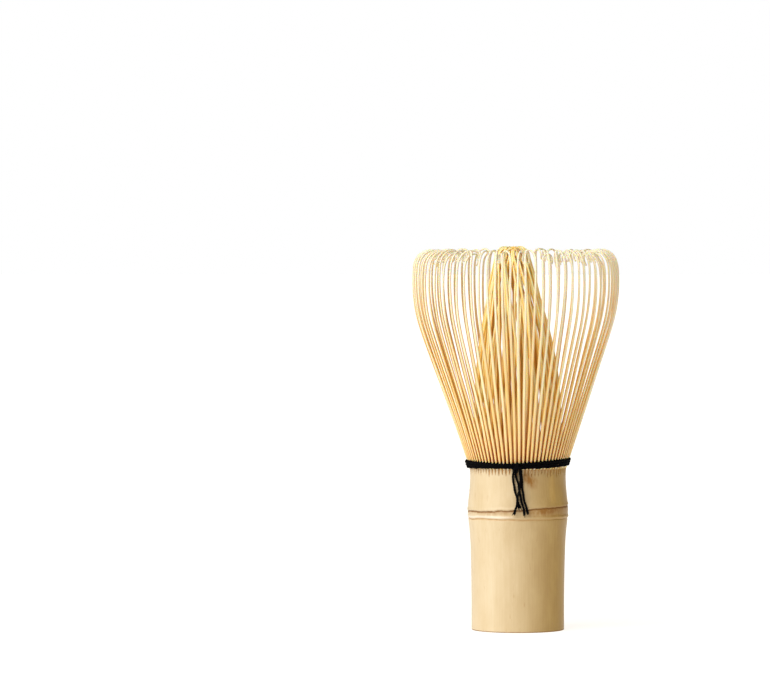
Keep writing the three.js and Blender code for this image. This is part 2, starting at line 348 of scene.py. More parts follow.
def inner_tine(shell, azimuth, ring, lean_to, draw):
    """One inner tine, from its root behind the thread to its bent tip in the bundle. It leans to
    one side, 1 or -1, so that neighbours cross."""
    share = np.linspace(0, 1, INNER_RINGS)
    end_radius = BUNDLE_RINGS[ring] + draw.normal(0, RING_STRAY)
    aside = lean_to * (LEAN_ASIDE + LEAN_ASIDE_PER_RING * ring)
    end_azimuth = azimuth + math.radians(aside + draw.normal(0, LEAN_ASIDE_STRAY))
    bend = TIP_BEND[ring]
    inset = INNER_TOP_INSET + INNER_TOP_INSET_PER_RING * ring
    top = BUNDLE_TOP - inset - abs(draw.normal(0, INNER_TOP_STRAY))
    bottom = THREAD_HEIGHT - INNER_FOOT
    height = bottom + (top - bend - bottom) * share
    root = np.array([math.cos(azimuth), math.sin(azimuth)]) * INNER_ROOT_RADIUS
    end = np.array([math.cos(end_azimuth), math.sin(end_azimuth)]) * end_radius
    flat = root + np.outer(share**INNER_LEAN, end - root)
    stray = draw.normal(0, BOW_STRAY, 2) * np.sin(share * math.pi)[:, None] ** 2
    line = np.column_stack([flat + stray, height])
    # The tip turns over towards the bundle's middle.
    into = -end / np.linalg.norm(end)
    swing = draw.normal(0, TIP_SWING_STRAY)
    into = np.array([
        into[0] * math.cos(swing) - into[1] * math.sin(swing),
        into[0] * math.sin(swing) + into[1] * math.cos(swing),
    ])
    turn = np.linspace(0, math.radians(draw.uniform(*TIP_TURN)), TIP_RINGS + 1)[1:]
    tip = np.column_stack([
        line[-1, 0] + into[0] * bend * (1 - np.cos(turn)),
        line[-1, 1] + into[1] * bend * (1 - np.cos(turn)),
        line[-1, 2] + bend * np.sin(turn),
    ])
    line = np.concatenate([line, tip])
    line[:, 0] += BUNDLE_SHIFT * smooth_step(SHIFT_FROM, SHIFT_TO, line[:, 2])
    whole = lengths(line) / lengths(line)[-1]
    twist = azimuth + math.pi / 2 + draw.normal(0, TWIST_STRAY) * smooth_step(0.2, 1, whole)
    sideways = np.stack([np.cos(twist), np.sin(twist), 0 * twist], axis=1)
    width = np.interp(whole, INNER_WIDTH[:, 0], INNER_WIDTH[:, 1])
    width = width * draw.normal(1, INNER_WIDTH_STRAY)
    thickness = np.interp(whole, INNER_THICKNESS[:, 0], INNER_THICKNESS[:, 1])
    add_tine(shell, line, sideways, width, thickness, draw.random(), GRAIN_SPAN * draw.random())


TINE_SHARP = 44  # degrees: edges of a tine over this are shaded sharp
OUTER_SEED = 100
INNER_SEED = 300


def outer_set(segment):
    """One segment's outer tines."""
    draw = np.random.default_rng(OUTER_SEED + segment)
    shell = Shell()
    for place in range(TINES_PER_SEGMENT):
        turn = segment * TINES_PER_SEGMENT + place - (TINES_PER_SEGMENT - 1) / 2
        outer_tine(shell, turn * PITCH, draw)
    return make_mesh(f"outer_bamboo_{segment + 1:02d}", shell, sharp_angle=TINE_SHARP)


def inner_set(segment):
    """One segment's inner tines."""
    draw = np.random.default_rng(INNER_SEED + segment)
    shell = Shell()
    for place in range(TINES_PER_SEGMENT):
        # Each inner tine stands behind the gap between two outer ones.
        turn = segment * TINES_PER_SEGMENT + place - (TINES_PER_SEGMENT - 1) / 2 + 0.5
        lean_to = 1 if (segment + place) % 2 else -1
        inner_tine(shell, turn * PITCH, RING_OF_PLACE[segment % 4][place], lean_to, draw)
    return make_mesh(f"inner_bamboo_{segment + 1:02d}", shell, sharp_angle=TINE_SHARP)


# ---------------------------------------------------------------------------------------------
# The handle

WALL_TOP = 47.3  # behind the thread, where the slits have become gaps
SHELF = 45.2  # between the outer and the inner tines
NODE_RING = 32.1
SCAR = 34.9
BORE = 9.6
CUP = 10.4
SHELF_INNER = 11.4
WALL_INNER = 13.0
DIAPHRAGM = (31.4, 33.6)

# The culm's outside as height and radius: it swells at the node and is waisted above it
CULM = np.array([
    (0, FOOT_RADIUS), (9, FOOT_RADIUS), (18, 13.35), (25, 13.55), (28, 13.76), (30.2, 14.0),
    (32.1, 14.22), (34, 14.35), (35.2, 14.35), (37, 14.2), (39.5, 13.92), (42, 13.72),
    (44.5, 13.68), (46, 13.72), (WALL_TOP, 13.95),
])
CULM_SMOOTHING = (-1, -0.5, 0.5, 1)  # the outline is averaged over these shifts in height
OUT_OF_ROUND = 0.06

# The scar is a crack under a slight lip, and the ring a ridge above a crease. Each is given as how
# far it stands out, its height above the mark, and its width.
SCAR_PROFILE = [(-0.2, 0, 0.17), (0.14, 0.5, 0.42)]
RING_PROFILE = [(-0.14, 0, 0.2), (0.17, 0.6, 0.4)]

# The groove that a branch leaves above the node, right of the front
GROOVE_AT = 27  # degrees from the front
GROOVE_SIDES = (22, 12)  # degrees from its middle: where it starts, and where it's full
GROOVE_DEPTH = 0.5

SLIT_END = 44.5  # the height that the slits run down to
SLIT_END_STRAY = 0.33
SLIT_SEED = 7
SLIT_DEPTH = 0.32

# Browner places, as strength, place and width across, and place and width in height. Those by the
# scar have their height measured down from it.
SMUDGES = [(1.9, 3.3, 1.7, 43.2, 0.9), (1.5, 2.2, 1.3, 44.6, 1.0), (0.7, 4.1, 1.1, 41.8, 0.8)]
# By the scar: specks on the left, and on the right specks with painted shade under the scar's lip
SCAR_STAINS_AND_SHADE = [(1.0, 8.0, 5.5, 0.8, 0.7), (0.45, -6.0, 5.0, 0.6, 0.5)]
# The side where the ridge above the ring has its painted highlight, towards the key light
HIGHLIGHT_SIDE = math.radians(-150)
RING_FAINTEST = FRONT + 0.85
# Painted shade along the foot's bottom edge, carried on the scar's mark
FOOT_SHADE = 1.4  # how brown the foot's edge is, where the scar is 1


def scar_height(azimuth):
    """The node's scar, which climbs to the right."""
    ragged = wander(1, azimuth * 5, 0.24) + wander(2, azimuth * 22, 0.16)
    return SCAR + 0.75 * np.cos(azimuth) + ragged


def ring_height(azimuth):
    """The node's lower ring."""
    return NODE_RING + 0.12 * np.cos(azimuth + 1) + wander(3, azimuth * 4, 0.2)


def slit_end(azimuth):
    """How far down the slit nearest to an azimuth runs."""
    slit = np.round(azimuth / PITCH - 0.5).astype(int) % TINES
    ends = np.random.default_rng(SLIT_SEED).normal(SLIT_END, SLIT_END_STRAY, TINES)
    return ends[slit]


def handle_radius(azimuth, height):
    """The culm's outside at each azimuth and height."""
    radius = np.interp(height, CULM[:, 0], CULM[:, 1])
    smooth = [np.interp(height + up, CULM[:, 0], CULM[:, 1]) for up in CULM_SMOOTHING]
    radius = (radius + sum(smooth)) / (1 + len(CULM_SMOOTHING))
    radius += OUT_OF_ROUND * np.cos(2 * azimuth + 0.6) * smooth_step(0, 40, 46 - height)
    for mark_height, profile in ((scar_height, SCAR_PROFILE), (ring_height, RING_PROFILE)):
        for out, above, width in profile:
            radius += out * bump(height, mark_height(azimuth) + above, width)
    from_groove = np.degrees(azimuth - FRONT) - GROOVE_AT
    groove = GROOVE_DEPTH * smooth_step(*GROOVE_SIDES, np.abs(from_groove))
    radius -= groove * smooth_step(35.6, 38.5, height) * smooth_step(56, 44, height)
    radius -= SLIT_DEPTH * slit_at(azimuth, height)
    return radius


def slit_at(azimuth, height):
    """1 in the slits between the tines' roots, which widen upwards, and 0 beside them."""
    from_slit = np.abs((azimuth / PITCH) % 1 - 0.5)
    above_end = height - slit_end(azimuth)
    opening = 0.04 + 0.19 * smooth_step(0, 1.8, above_end)
    inside = 1 - smooth_step(opening * 0.6, opening * 1.3, from_slit)
    return inside * smooth_step(0, 0.5, above_end)


def patches(table, across, height):
    """Soft spots, from a table of strength, place and width across, and the same in height."""
    return sum(strength * bump(across, place, width) * bump(height, level, rise)
               for strength, place, width, level, rise in table)


def stain_and_shade_at(azimuth, height):
    """Browner places: a smudge right of the loose ends, specks by the scar, and the node's band,
    with painted shade under the scar on the right and on the band towards the right.
    """
    across = (azimuth - FRONT) * FOOT_RADIUS
    smudge = patches(SMUDGES, across, height)
    under_scar = scar_height(azimuth) - height
    by_scar = patches(SCAR_STAINS_AND_SHADE, across, under_scar)
    on_node = smooth_step(32.6, 33.2, height) * smooth_step(-0.2, 0.3, under_scar)
    # The node's band is browner, and darker towards the right as painted shade
    band = (0.12 + 0.48 * smooth_step(1, 5, across)) * on_node
    return smudge + by_scar + band


# The slit's columns, as shares of the pitch from one tine to the next
SLIT_COLUMNS = np.array([-0.5, -0.34, -0.21, -0.1, 0, 0.1, 0.21, 0.34]) + 0.5

# The outside's rows, closest together at the node
OUTSIDE = np.unique(np.round(np.concatenate([
    np.linspace(0.12, 0.5, 4),
    np.linspace(1, 30.5, 28),
    np.linspace(30.5, 37.2, 58),
    np.linspace(37.2, 43.2, 13),
    np.linspace(43.2, WALL_TOP - 0.1, 22),
]), 3))

# The rest of the outline, as radius and height: from the diaphragm's underside down the bore to
# the foot, and from the rim into the cup
BELOW = [
    (0.01, DIAPHRAGM[0] + 0.3), (4, DIAPHRAGM[0] + 0.2), (BORE - 2, DIAPHRAGM[0]),
    (BORE - 0.6, DIAPHRAGM[0] - 0.5), (BORE, DIAPHRAGM[0] - 1.6), (BORE, 20), (BORE, 10),
    (BORE, 1), (BORE + 0.1, 0.3), (BORE + 0.4, 0.02), (BORE + 0.7, 0), (BORE + 1.8, 0),
    (FOOT_RADIUS - 0.6, 0), (FOOT_RADIUS - 0.1, 0.01), (FOOT_RADIUS - 0.03, 0.06),
]
ABOVE = [
    (WALL_INNER + 0.75, WALL_TOP), (WALL_INNER + 0.1, WALL_TOP), (WALL_INNER, WALL_TOP - 0.1),
    (WALL_INNER, SHELF + 0.1), (WALL_INNER - 0.1, SHELF), (SHELF_INNER + 0.1, SHELF),
    (SHELF_INNER, SHELF - 0.1), (CUP + 0.3, SHELF - 3), (CUP, SHELF - 5), (CUP, 36.4),
    (CUP - 0.6, DIAPHRAGM[1] + 0.6), (CUP - 2, DIAPHRAGM[1]), (5, DIAPHRAGM[1] - 0.1),
    (0.01, DIAPHRAGM[1] - 0.15),
]
HANDLE_SHARP = 60  # degrees


def skin_marks(azimuth, height):
    """What the handle's material reads from a row of its outside."""
    # Painted shade along the foot's bottom edge, carried on the scar's mark
    foot_shade = FOOT_SHADE * bump(height, 0.04, 0.17)
    ring_fade = 1 - 0.6 * bump(azimuth, RING_FAINTEST, 0.8)
    # Painted highlight on the ridge, on the side towards the key light
    ridge_highlight = smooth_step(0.5, 0.85, np.cos(azimuth - HIGHLIGHT_SIDE))
    return {
        "scar": bump(height, scar_height(azimuth) - 0.04, 0.3) + foot_shade,
        "ring": bump(height, ring_height(azimuth), 0.22) * ring_fade,
        "ridge": bump(height, ring_height(azimuth) + 0.65, 0.38) * ridge_highlight,
        "stain_and_shade": stain_and_shade_at(azimuth, height),
        "slit": slit_at(azimuth, height),
    }


def handle_mesh():
    """The culm as one closed surface: bore, foot, outside, slotted rim, cup and diaphragm."""
    azimuth = ((np.arange(TINES)[:, None] + SLIT_COLUMNS[None, :]) * PITCH).ravel()
    azimuth = (azimuth + math.pi) % (2 * math.pi) - math.pi
    azimuth.sort()
    flat = np.zeros(len(azimuth))
    rows = []
    marks = {name: [] for name in ("cut", "scar", "ring", "ridge", "stain_and_shade", "slit")}

    def add_row(radius, height, **values):
        rows.append((flat + radius, flat + height))
        for name, column in marks.items():
            column.append(flat + values.get(name, 0))

    # The bore and underside rows carry the foot's painted shade on the scar's mark
    for radius, height in BELOW:
        add_row(radius, height, cut=radius < FOOT_RADIUS - 0.05, scar=FOOT_SHADE)
    for height in OUTSIDE:
        add_row(handle_radius(azimuth, flat + height), height, **skin_marks(azimuth, height))
    for radius, height in ABOVE:
        add_row(radius, height, cut=1)
    radius = np.array([r for r, _ in rows])
    height = np.array([z for _, z in rows])
    points = np.stack([radius * np.cos(azimuth), radius * np.sin(azimuth), height], axis=-1)
    right = np.degrees(azimuth - FRONT)
    # Painted shade: darker and browner round the right side, away from the key light
    aged = smooth_step(-40, 75, right) * smooth_step(190, 100, right)
    shell = Shell()
    shell.add(
        points.reshape(-1, 3),
        tube_faces(len(rows), len(azimuth)),
        aged=np.tile(aged, len(rows)),
        **{name: np.array(column).ravel() for name, column in marks.items()},
    )
    return make_mesh("handle_bamboo", shell, sharp_angle=HANDLE_SHARP)


# ---------------------------------------------------------------------------------------------
# Thread

# The binding leans a little: its right side is higher.
THREAD_TILT = 0.35
THREAD_DROP = 0.1  # below the tines' hinges
KNOT_SAG = 0.32


def thread_height(azimuth):
    """The middle of the binding at an azimuth: it leans, and sags at the knot."""
    level = THREAD_HEIGHT - THREAD_DROP + THREAD_TILT * np.cos(azimuth)
    return level - KNOT_SAG * bump(from_front(azimuth), 0, 0.75)


def thread_squeeze(azimuth):
    """How close together its rounds lie: closest left of the knot."""
    return 1 - 0.38 * bump(from_front(azimuth), -0.35, 0.6)


LOBE_DEPTH = 0.28  # of a cord's radius


def twist_lobes(plies, turn):
    """1 on the crest of each ply, and 0 between plies. turn is the angle from the twist's start."""
    return np.abs(np.cos(plies / 2 * turn))


def around_cord(sides):
    """The angles of a cord's sides, in a row."""
    return np.linspace(0, 2 * math.pi, sides, endpoint=False)[None, :]


def add_cord(shell, line, radius, plies, lay, sides=12, taper=None):
    """Sweeps a twisted cord along a line: its plies stand out as lobes that wind round it once in
    each lay's length. taper is a factor on the radius at each point."""
    along = tangents(line)
    frames = [np.cross(along[0], (0.31, 0.17, 0.93))]
    for direction in along[1:]:
        carried = frames[-1] - np.dot(frames[-1], direction) * direction
        frames.append(carried / np.linalg.norm(carried))
    side = np.array(frames)
    side /= np.linalg.norm(side, axis=1, keepdims=True)
    other = np.cross(along, side)
    around = around_cord(sides)
    lobes = twist_lobes(plies, around - 2 * math.pi * lengths(line)[:, None] / lay)
    reach = radius * (1 - LOBE_DEPTH + LOBE_DEPTH * lobes)
    if taper is not None:
        reach = reach * taper[:, None]
    points = (
        line[:, None, :]
        + side[:, None, :] * (reach * np.cos(around))[..., None]
        + other[:, None, :] * (reach * np.sin(around))[..., None]
    )
    shell.add(points.reshape(-1, 3), tube_faces(len(line), sides), lobe=lobes.ravel())


def ring_faces(rings, sides):
    """Quads round a tube whose last ring joins its first."""
    faces = []
    for ring in range(rings):
        for side in range(sides):
            here = ring * sides + side
            beside = ring * sides + (side + 1) % sides
            there = (here + sides) % (rings * sides)
            across = (beside + sides) % (rings * sides)
            faces.append((here, beside, across, there))
    return faces


def add_round(shell, radial, height, radius, plies, lays, sides=12):
    """A cord that closes on itself round the whisk, with a whole number of lays. radial and height
    are arrays over evenly spaced azimuths."""
    count = len(radial)
    azimuth = np.arange(count) * 2 * math.pi / count
    around = around_cord(sides)
    lobes = twist_lobes(plies, around - lays * azimuth[:, None])
    reach = radius * (1 - LOBE_DEPTH + LOBE_DEPTH * lobes)
    out = radial[:, None] + reach * np.cos(around)
    up = height[:, None] + reach * np.sin(around)
    points = np.stack([out * np.cos(azimuth)[:, None], out * np.sin(azimuth)[:, None], up], axis=-1)
    shell.add(points.reshape(-1, 3), ring_faces(count, sides), lobe=lobes.ravel())


TINE_HALF = 0.29  # half a tine's thickness at the thread
TINE_SLOPE = 0.33  # how much its face moves out for each millimetre of height


def tine_face(height):
    """The radius of the outer tines' outsides, where the thread crosses them."""
    return OUTER_ROOT_RADIUS + TINE_HALF + TINE_SLOPE * (height - THREAD_HEIGHT)


ROUND_STEPS = TINES * 12
ROUND_AZIMUTH = np.arange(ROUND_STEPS) * 2 * math.pi / ROUND_STEPS
ROUND_RADIUS = 0.38
ROUND_LAYS = 44
ROUND_DIP = 0.05  # down between tines
ROUND_DIP_IN = 0.04

# How a round wanders up and down by itself: how far, with how many waves in a turn, how many more
# for each seed, and how many radians each seed shifts them
ROUND_WAVES = [(0.05, 3, 0, 1), (0.06, 17, 6, 1), (0.05, 31, 5, 3)]


def band_round(name, rise, seed):
    """One round of thread outside the tines, rise above the middle of the band."""
    azimuth = ROUND_AZIMUTH
    shell = Shell()
    on_tine = np.cos(azimuth * TINES)
    level = thread_height(azimuth) + rise * thread_squeeze(azimuth) + ROUND_DIP * on_tine
    for far, waves, more, start in ROUND_WAVES:
        level += far * np.sin(azimuth * (waves + more * seed) + start * seed)
    radial = tine_face(THREAD_HEIGHT + rise) + ROUND_RADIUS * 0.5 + ROUND_DIP_IN * on_tine
    radial += 0.06 * np.sin(azimuth * (11 + 4 * seed) + 2 * seed)
    add_round(shell, radial, level, ROUND_RADIUS, 3, ROUND_LAYS + seed)
    return make_mesh(name, shell)


WEAVE_RADIUS = 0.25
WEAVE_LAYS = 80
WEAVE_SWING = 0.62  # out and in from its middle
WEAVE_INSET = 0.36  # its middle, inside the tines' outsides
WEAVE_STEEPNESS = 2.2  # how fast it passes between two tines


def weave(name, rise, poke):
    """Two strands that pass outside one tine and inside the next, in opposite turns. They show
    between the tines above and below the band, and lie between outer and inner tines."""
    azimuth = ROUND_AZIMUTH
    shell = Shell()
    middle = tine_face(THREAD_HEIGHT + rise) - WEAVE_INSET
    for phase in (0, math.pi):
        wave = np.cos(azimuth * TINES / 2 + phase)
        side = np.tanh(WEAVE_STEEPNESS * wave) / math.tanh(WEAVE_STEEPNESS)
        level = thread_height(azimuth) + rise * thread_squeeze(azimuth)
        level += poke * (1 - np.abs(wave)) ** 2
        add_round(shell, middle + WEAVE_SWING * side, level, WEAVE_RADIUS, 2, WEAVE_LAYS, sides=10)
    return make_mesh(name, shell)


FILL_RISES = (-0.75, -0.05, 0.65)
FILL_PLACE = 13.15  # the radius halfway between outer and inner tines
FILL_RADIUS = 0.4
FILL_LAYS = 40


def inner_weave():
    """The rows of thread that fill the space between the outer and the inner tines."""
    azimuth = ROUND_AZIMUTH
    shell = Shell()
    for row, rise in enumerate(FILL_RISES):
        level = thread_height(azimuth) + rise + 0.06 * np.sin(azimuth * 9 + row)
        radial = FILL_PLACE + 0.12 * rise + 0.06 * np.cos(azimuth * TINES)
        add_round(shell, radial, level, FILL_RADIUS, 3, FILL_LAYS + row)
    return make_mesh("thread_between_tines", shell)


SPLINE_STEPS = 24  # between two places


def spline(places, count):
    """A smooth line through a few places, with count points evenly along it."""
    places = np.asarray(places, float)
    ends = [2 * places[0] - places[1], 2 * places[-1] - places[-2]]
    padded = np.concatenate([[ends[0]], places, [ends[1]]])
    line = []
    for a, b, c, d in zip(padded, padded[1:], padded[2:], padded[3:]):
        t = np.linspace(0, 1, SPLINE_STEPS, endpoint=False)[:, None]
        line.append(0.5 * (2 * b + (c - a) * t + (2 * a - 5 * b + 4 * c - d) * t**2
                           + (3 * b - a - 3 * c + d) * t**3))
    line = np.concatenate(line + [places[-1:]])
    far = lengths(line)
    even = np.linspace(0, far[-1], count)
    return np.column_stack([np.interp(even, far, line[:, axis]) for axis in range(3)])


WAIST_FROM = 42  # from this height up to the thread the handle is as wide as at its waist
WAIST_RADIUS = 13.72
KNOT_HEIGHT = THREAD_HEIGHT - 0.85
KNOT_CORD = {"radius": 0.36, "plies": 3, "lay": 1.7}
KNOT_SWEEP = math.radians(150)  # how far each loop goes round, each way from its front
KNOT_OUT = 0.62  # how far a loop goes in and out
KNOT_UP = 1.25  # how far it goes up and down
KNOT_LOOPS = ((-1.15, 0.5, 0), (-0.05, -0.45, 0.05), (-0.55, 0.15, 0.22))  # across, lean, lift


def on_front(across, height, off):
    """A point in front of the handle, off from its surface."""
    radius = float(np.interp(height, CULM[:, 0], CULM[:, 1]))
    if height > WAIST_FROM:
        radius = WAIST_RADIUS
    reach = radius + off
    return (across, -math.sqrt(reach**2 - across**2), height)


def knot():
    """A flat knot over the band: three loops round it, and a short bar across."""
    shell = Shell()
    face = tine_face(THREAD_HEIGHT) + 0.55
    turn = np.linspace(-KNOT_SWEEP, KNOT_SWEEP, 26)
    for across, lean, lift in KNOT_LOOPS:
        out = face + 0.15 + lift + KNOT_OUT * np.cos(turn)
        up = KNOT_HEIGHT + (KNOT_UP - 0.3 * lift) * np.sin(turn)
        side = across + lean * np.sin(turn)
        add_cord(shell, np.column_stack([side, -out, up]), **KNOT_CORD)
    bar = spline([
        (-1.9, -face - 0.3, KNOT_HEIGHT - 0.3), (-1.1, -face - 0.95, KNOT_HEIGHT - 0.2),
        (0, -face - 1.0, KNOT_HEIGHT), (0.9, -face - 0.35, KNOT_HEIGHT + 0.2),
    ], 40)
    add_cord(shell, bar, **KNOT_CORD)
    return make_mesh("thread_knot_loops", shell)


# The thread's four ends, close to the CAD's: each runs down through (across, height, layer),
# where layer 0 lies on the handle and layer 1 crosses over it.
TAILS = [
    [(-1.55, 46.5, 0.8), (-1.75, 45.1, 0.2), (-1.7, 43.7, 0), (-1.55, 42.3, 0), (-1.2, 40.5, 0),
     (-0.75, 39, 0), (-0.53, 37.9, 0), (-0.35, 37.1, 0), (0.15, 35.5, 0)],
    [(-1.15, 46.5, 1.3), (-1.05, 45.3, 0.9), (-0.8, 44.1, 0.6), (-0.3, 42.4, 0.2), (0, 40.7, 0),
     (0.45, 38.4, 0), (0.9, 36.6, 0), (1.3, 35, 0), (1.55, 33.3, 0)],
    [(0.45, 46.5, 1), (0.65, 45.1, 0.3), (0.75, 43.7, 0), (0.85, 41.9, 0), (1.05, 40.1, 0),
     (1.3, 38.4, 0), (1.75, 36.6, 0), (2.2, 35.1, 0), (2.65, 33.7, 0)],
    [(0.05, 46.5, 1.4), (0.25, 45.1, 1), (0.33, 43.5, 1), (0.17, 41.4, 1), (-0.15, 40.1, 1),
     (-0.45, 38.7, 1), (-0.6, 37.2, 1), (-0.95, 35.7, 1), (-1.5, 33.6, 0.6)],
]
FRAY = [1.6, 1.05, 1.1, 1.2]  # how far each is frayed, as a factor on its width
CORD_RADIUS = 0.37
CORD_LAY = 1.5
CORD_GAP = 0.05  # between the cord and the handle
CORD_SLACK = 0.96  # the cord's lobes, a little inside its radius
END_SEED = 500
END_POINTS = 90
CORD_POINTS = 88  # the twisted cord stops this far down its line
FIBRES_FROM = CORD_POINTS - 6
FIBRES = 9
FIBRE_CORD = {"radius": 0.09, "plies": 2, "lay": 0.6, "sides": 6}


def tail(index):
    """One loose end: a twisted cord that frays into fibres at its tip."""
    draw = np.random.default_rng(END_SEED + index)
    places = []
    for across, height, layer in TAILS[index]:
        places.append(on_front(across, height, CORD_RADIUS + CORD_GAP + layer * 2 * CORD_RADIUS))
    line = spline(places, END_POINTS)
    line[:, 0] += 0.05 * np.sin(lengths(line) * 1.7 + index)
    shell = Shell()
    taper = 1 + (FRAY[index] - 1) * smooth_step(0.8, 0.95, np.linspace(0, 1, END_POINTS))
    add_cord(shell, line[:CORD_POINTS], CORD_RADIUS, 2, CORD_LAY,
             taper=taper[:CORD_POINTS] * CORD_SLACK)
    along = tangents(line)[FIBRES_FROM]
    for _ in range(FIBRES):
        spread = draw.normal(0, 0.14 * FRAY[index], 3)
        start = line[FIBRES_FROM] + spread * 0.5
        reach = draw.uniform(0.6, 1.1)
        far = start + along * reach + spread * 0.9
        mid = (start + far) / 2 + spread * 0.25
        far[1] = min(far[1], start[1] + 0.1)
        add_cord(shell, spline([start, mid, far], 12), **FIBRE_CORD)
    return make_mesh(f"thread_end_{index + 1}", shell)


# ---------------------------------------------------------------------------------------------
# Materials


class Nodes:
    """Short calls for building a material's node tree."""

    def __init__(self, name):
        self.material = bpy.data.materials.new(name)
        self.material.use_nodes = True
        self.tree = self.material.node_tree
        self.shader = self.tree.nodes["Principled BSDF"]

    def node(self, kind, **settings):
        made = self.tree.nodes.new(kind)
        for key, value in settings.items():
            setattr(made, key, value)
        return made

    def put(self, value, socket):
        """Sets a socket to a number or colour, or links it to another."""
        if isinstance(value, bpy.types.NodeSocket):
            self.tree.links.new(value, socket)
        else:
            socket.default_value = value

    def attribute(self, name, vector=False):
        made = self.node("ShaderNodeAttribute", attribute_name=name)
        return made.outputs["Vector" if vector else "Fac"]

    def math(self, operation, first, second=0.0, clamp=False):
        made = self.node("ShaderNodeMath", operation=operation, use_clamp=clamp)
        self.put(first, made.inputs[0])
        self.put(second, made.inputs[1])
        return made.outputs[0]

    def scaled(self, vector, scale):
        made = self.node("ShaderNodeVectorMath", operation="MULTIPLY")
        self.put(vector, made.inputs[0])
        made.inputs[1].default_value = scale
        return made.outputs[0]

    def weighted(self, *parts):
        """The sum of values, each given with its weight."""
        total = self.math("MULTIPLY", *parts[0])
        for value, weight in parts[1:]:
            total = self.math("ADD", total, self.math("MULTIPLY", value, weight))
        return total

    def noise(self, vector, detail=3.0, roughness=0.55):
        made = self.node("ShaderNodeTexNoise")
        self.put(vector, made.inputs["Vector"])
        made.inputs["Scale"].default_value = 1.0
        made.inputs["Detail"].default_value = detail
        made.inputs["Roughness"].default_value = roughness
        return made.outputs["Fac"]

    def span(self, value, start, end):
        """0 where the value is at start, and 1 at end."""
        made = self.node("ShaderNodeMapRange")
        self.put(value, made.inputs["Value"])
        made.inputs["From Min"].default_value = start
        made.inputs["From Max"].default_value = end
        return made.outputs[0]

    def ramp(self, value, *stops):
        """Maps a value through (position, colour) stops."""
        made = self.node("ShaderNodeValToRGB")
        elements = made.color_ramp.elements
        while len(elements) < len(stops):
            elements.new(0.5)
        for element, (position, colour) in zip(elements, stops):
            element.position = position
            element.color = (*colour, 1)
        self.put(value, made.inputs[0])
        return made.outputs[0]

    def mix(self, factor, first, second):
        made = self.node("ShaderNodeMix", data_type="RGBA")
        self.put(factor, made.inputs[0])
        for colour, socket in ((first, made.inputs[6]), (second, made.inputs[7])):
            self.put((*colour, 1) if isinstance(colour, tuple) else colour, socket)
        return made.outputs[2]

    def bump(self, height, strength, distance):
        made = self.node("ShaderNodeBump")
        made.inputs["Strength"].default_value = strength
        made.inputs["Distance"].default_value = distance
        self.put(height, made.inputs["Height"])
        self.put(made.outputs[0], self.shader.inputs["Normal"])

    def finish(self, colour, roughness, **sockets):
        self.put(colour, self.shader.inputs["Base Color"])
        self.put(roughness, self.shader.inputs["Roughness"])
        for key, value in sockets.items():
            self.shader.inputs[key.replace("_", " ")].default_value = value
        return self.material


def tine_bamboo(name, *, light, mid, dark, inside, flank_shade, tip, tip_inside, root, deep_shade,
                flank_fade):
    """Split bamboo, with fibres along the tine. Its outer face is light to dark in patches, its
    back is the inside colour, the pith's own colour deepened as painted shade, and its flanks'
    colour is painted shade and bounced light between the tines. Both faces go over to the tip
    colours where it thins, and to the root colour above the thread, painted shade there, where its
    flanks go over to the deep colour, painted shade too. flank_fade is how much of the flanks'
    painted shade is lost at its tip."""
    n = Nodes(name)
    grain = n.attribute("grain", vector=True)
    fibres = n.noise(n.scaled(grain, (9.0, 9.0, 0.12)), detail=4.0, roughness=0.6)
    patches = n.noise(n.scaled(grain, (0.6, 0.6, 0.06)), detail=2.0)
    shade = n.weighted((fibres, 0.4), (patches, 0.25), (n.attribute("tone"), 0.35))
    face = n.ramp(shade, (0.28, dark), (0.5, mid), (0.7, light))
    # The back: the pith's own colour, deepened as painted shade between the tines
    back = n.ramp(shade, (0.28, tuple(0.75 * c for c in inside)), (0.7, inside))
    reach = n.attribute("reach")
    pale = n.math("MULTIPLY", n.span(reach, 0.36, 0.82), 0.9)
    skin = n.attribute("skin")
    colour = n.mix(skin, n.mix(pale, back, tip_inside), n.mix(pale, face, tip))
    # Painted shade: a darker root colour between the tines just above the thread
    above_thread = n.span(reach, 0.014, 0.03)
    tint = n.math("MULTIPLY", n.span(reach, 0.34, 0.06), above_thread)
    colour = n.mix(tint, colour, root)
    fading = n.math("MULTIPLY", n.span(reach, 0.5, 0.95), flank_fade)
    flank = n.math("SUBTRACT", 0.92, fading)
    # Painted shade and bounced light on the flanks between the tines, deepest by the thread
    flank_shade_colour = n.mix(n.span(reach, 0.2, 0.05), flank_shade, deep_shade)
    colour = n.mix(n.math("MULTIPLY", n.attribute("side"), flank), colour, flank_shade_colour)
    n.bump(fibres, 0.25, 0.00005)
    rough = n.math("ADD", n.math("MULTIPLY", fibres, 0.2), 0.38)
    return n.finish(colour, rough, Specular_IOR_Level=0.35, Subsurface_Weight=0.5,
                    Subsurface_Radius=(0.001, 0.0006, 0.0002), Subsurface_Scale=0.9)


# The handle's colours: its skin from dark to light, plain and with painted shade on its right side,
# then its marks, and the raw bamboo of its cut ends
SKIN_STOPS = (0.3, 0.48, 0.66)
PLAIN_SKIN = ((0.55, 0.41, 0.228), (0.595, 0.462, 0.275), (0.64, 0.515, 0.33))
SHADED_SKIN = ((0.33, 0.176, 0.02), (0.395, 0.222, 0.03), (0.465, 0.282, 0.05))
FLECK_BROWN = (0.42, 0.25, 0.10)
HIGHLIGHT_PALE = (0.76, 0.665, 0.53)
SCAR_BROWN = (0.20, 0.08, 0.014)
RING_BROWN = (0.42, 0.21, 0.05)
SLIT_SHADE_BROWN = (0.46, 0.21, 0.035)
STAIN_AND_SHADE_BROWN = (0.30, 0.13, 0.016)
RAW_DARK = (0.42, 0.27, 0.11)
RAW_LIGHT = (0.66, 0.48, 0.25)


